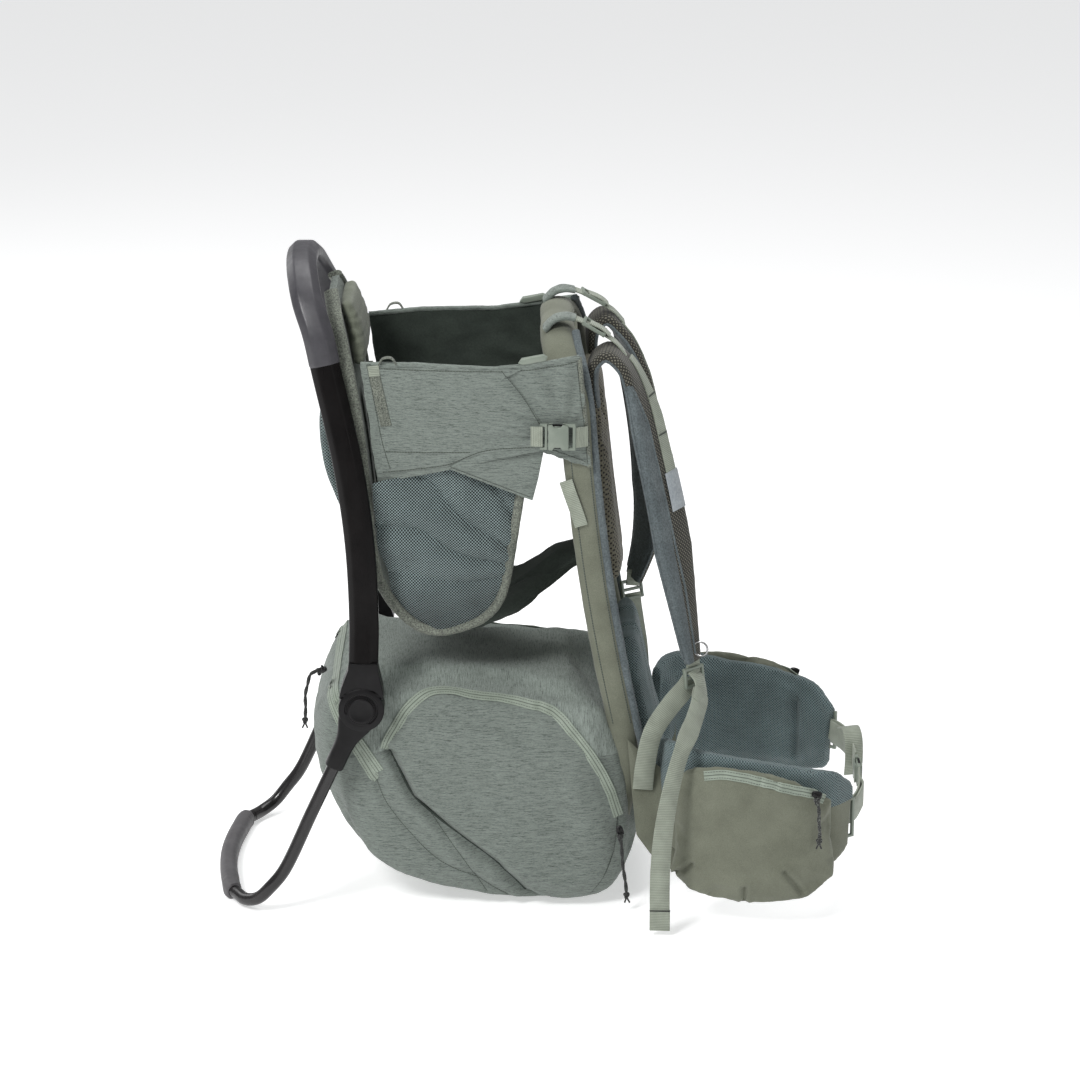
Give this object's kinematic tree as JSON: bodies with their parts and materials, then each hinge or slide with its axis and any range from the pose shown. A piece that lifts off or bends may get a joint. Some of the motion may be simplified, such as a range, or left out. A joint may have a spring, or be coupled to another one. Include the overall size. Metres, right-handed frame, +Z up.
{
  "type": "baby carrier backpack",
  "caption": "Framed child carrier backpack with a fold-out kickstand, child seat with side walls, storage bag, padded shoulder straps and a hip belt with pouches.",
  "frame": {"origin": "on the floor, at the middle of the footprint, midway between the foot bar's rear edge and the hip buckle's front and on the carrier's centre plane", "axes": "+X is the wearer's forward, +Y the wearer's left, +Z up. The carrier stands on the floor z = 0 on the storage bag's base and the kickstand's rubber sleeve"},
  "size_m": [0.819, 0.457, 0.815],
  "materials": {
    "frame_tube": "satin black anodised tube",
    "arch_plastic": "charcoal, fine texture",
    "frame_plastic": "black, fine texture",
    "foot_rubber": "grey, soft and matte",
    "heather_fabric": "heathered grey-green weave with fine streaks",
    "smooth_fabric": "olive sage plain weave",
    "lining_fabric": "dark green brushed lining",
    "side_mesh": "teal-grey open mesh",
    "spacer_mesh": "olive-brown spacer mesh",
    "belt_mesh": "dark teal-grey spacer mesh",
    "strap_mesh": "dark brown spacer mesh with a blue-grey edge",
    "webbing": "sage woven webbing",
    "buckle_plastic": "sage grey, satin",
    "cord": "black braided cord with a coated slider"
  },
  "bodies": {
    "pack": {"rear_arch": "arch_plastic", "rear_leg_right": "frame_tube", "rear_leg_left": "frame_tube", "hub_housing_right": "frame_plastic", "hub_housing_left": "frame_plastic", "hub_cap_right": "frame_plastic", "hub_cap_left": "frame_plastic", "base_rail": "frame_tube", "front_frame": "smooth_fabric", "storage_bag": "heather_fabric", "side_pocket_right": "heather_fabric", "side_pocket_left": "heather_fabric", "child_back_panel": "heather_fabric", "headrest_cushion": "lining_fabric", "seat_base": "lining_fabric", "cockpit_wall_right": "heather_fabric", "cockpit_wall_left": "heather_fabric", "seat_mesh_right": "side_mesh", "seat_mesh_left": "side_mesh", "front_panel": "smooth_fabric", "front_bolster": "smooth_fabric", "seat_clip_socket_right": "buckle_plastic", "seat_clip_socket_left": "buckle_plastic", "lumbar_pad": "spacer_mesh", "child_harness": "lining_fabric", "child_buckle": "frame_plastic", "load_lifter_right": "webbing", "load_lifter_left": "webbing", "strap_web_right": "webbing", "strap_web_left": "webbing"},
    "kickstand": {"kickstand_socket_right": "frame_plastic", "kickstand_socket_left": "frame_plastic", "kickstand_leg_right": "frame_tube", "kickstand_leg_left": "frame_tube", "kickstand_foot_bar": "frame_tube", "foot_sleeve": "foot_rubber"},
    "harness": {"back_pad": "spacer_mesh", "shoulder_strap_right": "strap_mesh", "shoulder_strap_left": "strap_mesh", "shoulder_lock_right": "buckle_plastic", "shoulder_lock_left": "buckle_plastic", "strap_tail_right": "webbing"},
    "chest_strap": {"chest_socket": "buckle_plastic"},
    "chest_release": {"chest_tongue": "buckle_plastic"},
    "belt_right": {"hip_wing_right": "belt_mesh", "hip_pouch_right": "smooth_fabric", "hip_web_right": "webbing", "hip_clip_socket": "buckle_plastic"},
    "belt_left": {"hip_wing_left": "belt_mesh", "hip_pouch_left": "smooth_fabric", "hip_web_left": "webbing", "hip_clip_tongue": "buckle_plastic"},
    "hip_zip_r": {"hip_zip_right": "cord"},
    "hip_zip_l": {"hip_zip_left": "cord"},
    "side_zip_r": {"side_zip_right": "cord"},
    "side_zip_l": {"side_zip_left": "cord"},
    "rear_zip_pull": {"rear_zip": "cord"},
    "seat_release_r": {"seat_clip_tongue_right": "buckle_plastic"},
    "seat_release_l": {"seat_clip_tongue_left": "buckle_plastic"},
    "harness_button": {"child_button": "arch_plastic"}
  },
  "joints": [
    {"name": "kickstand_fold", "type": "hinge", "parent": "pack", "child": "kickstand", "pos_m": [-0.218, 0, 0.276], "axis": [0, -1, 0], "range_deg": [0, 52]},
    {"name": "harness_height", "type": "slide", "parent": "pack", "child": "harness", "axis": [-0.12, 0, 0.9928], "range_m": [-0.05, 0.03], "deforming": ["load_lifter_right", "load_lifter_left", "strap_web_right", "strap_web_left", "strap_tail_right"]},
    {"name": "chest_strap_height", "type": "slide", "parent": "harness", "child": "chest_strap", "axis": [-0.12, 0, 0.9928], "range_m": [-0.03, 0.03]},
    {"name": "chest_clip_release", "type": "slide", "parent": "chest_strap", "child": "chest_release", "axis": [-0.159, 0.9873, 0], "range_m": [0, 0.022]},
    {"name": "hip_belt_right_swing", "type": "hinge", "parent": "pack", "child": "belt_right", "pos_m": [0.151, -0.11, 0.13], "axis": [0, 0, -1], "range_deg": [0, 20]},
    {"name": "hip_belt_left_swing", "type": "hinge", "parent": "pack", "child": "belt_left", "pos_m": [0.151, 0.11, 0.13], "axis": [0, 0, 1], "range_deg": [0, 20]},
    {"name": "hip_zip_right_slide", "type": "slide", "parent": "belt_right", "child": "hip_zip_r", "axis": [-0.9585, 0, 0.2852], "range_m": [0, 0.125]},
    {"name": "hip_zip_left_slide", "type": "slide", "parent": "belt_left", "child": "hip_zip_l", "axis": [-0.9585, 0, 0.2852], "range_m": [0, 0.125]},
    {"name": "side_zip_right_slide", "type": "slide", "parent": "pack", "child": "side_zip_r", "axis": [-0.3065, 0, 0.9519], "range_m": [0, 0.062]},
    {"name": "side_zip_left_slide", "type": "slide", "parent": "pack", "child": "side_zip_l", "axis": [-0.3065, 0, 0.9519], "range_m": [0, 0.062]},
    {"name": "rear_zip_slide", "type": "slide", "parent": "pack", "child": "rear_zip_pull", "axis": [0, 1, 0], "range_m": [0, 0.22]},
    {"name": "seat_clip_right_release", "type": "slide", "parent": "pack", "child": "seat_release_r", "axis": [-0.9982, 0, 0.06], "range_m": [0, 0.022]},
    {"name": "seat_clip_left_release", "type": "slide", "parent": "pack", "child": "seat_release_l", "axis": [-0.9982, 0, 0.06], "range_m": [0, 0.022]},
    {"name": "child_button_press", "type": "slide", "parent": "pack", "child": "harness_button", "axis": [0, 0, -1], "range_m": [0, 0.003], "stiffness_N_per_m": 400}
  ],
  "couplings": [
    {"joint": "hip_belt_left_swing", "follows": "hip_belt_right_swing", "ratio": 1}
  ]
}
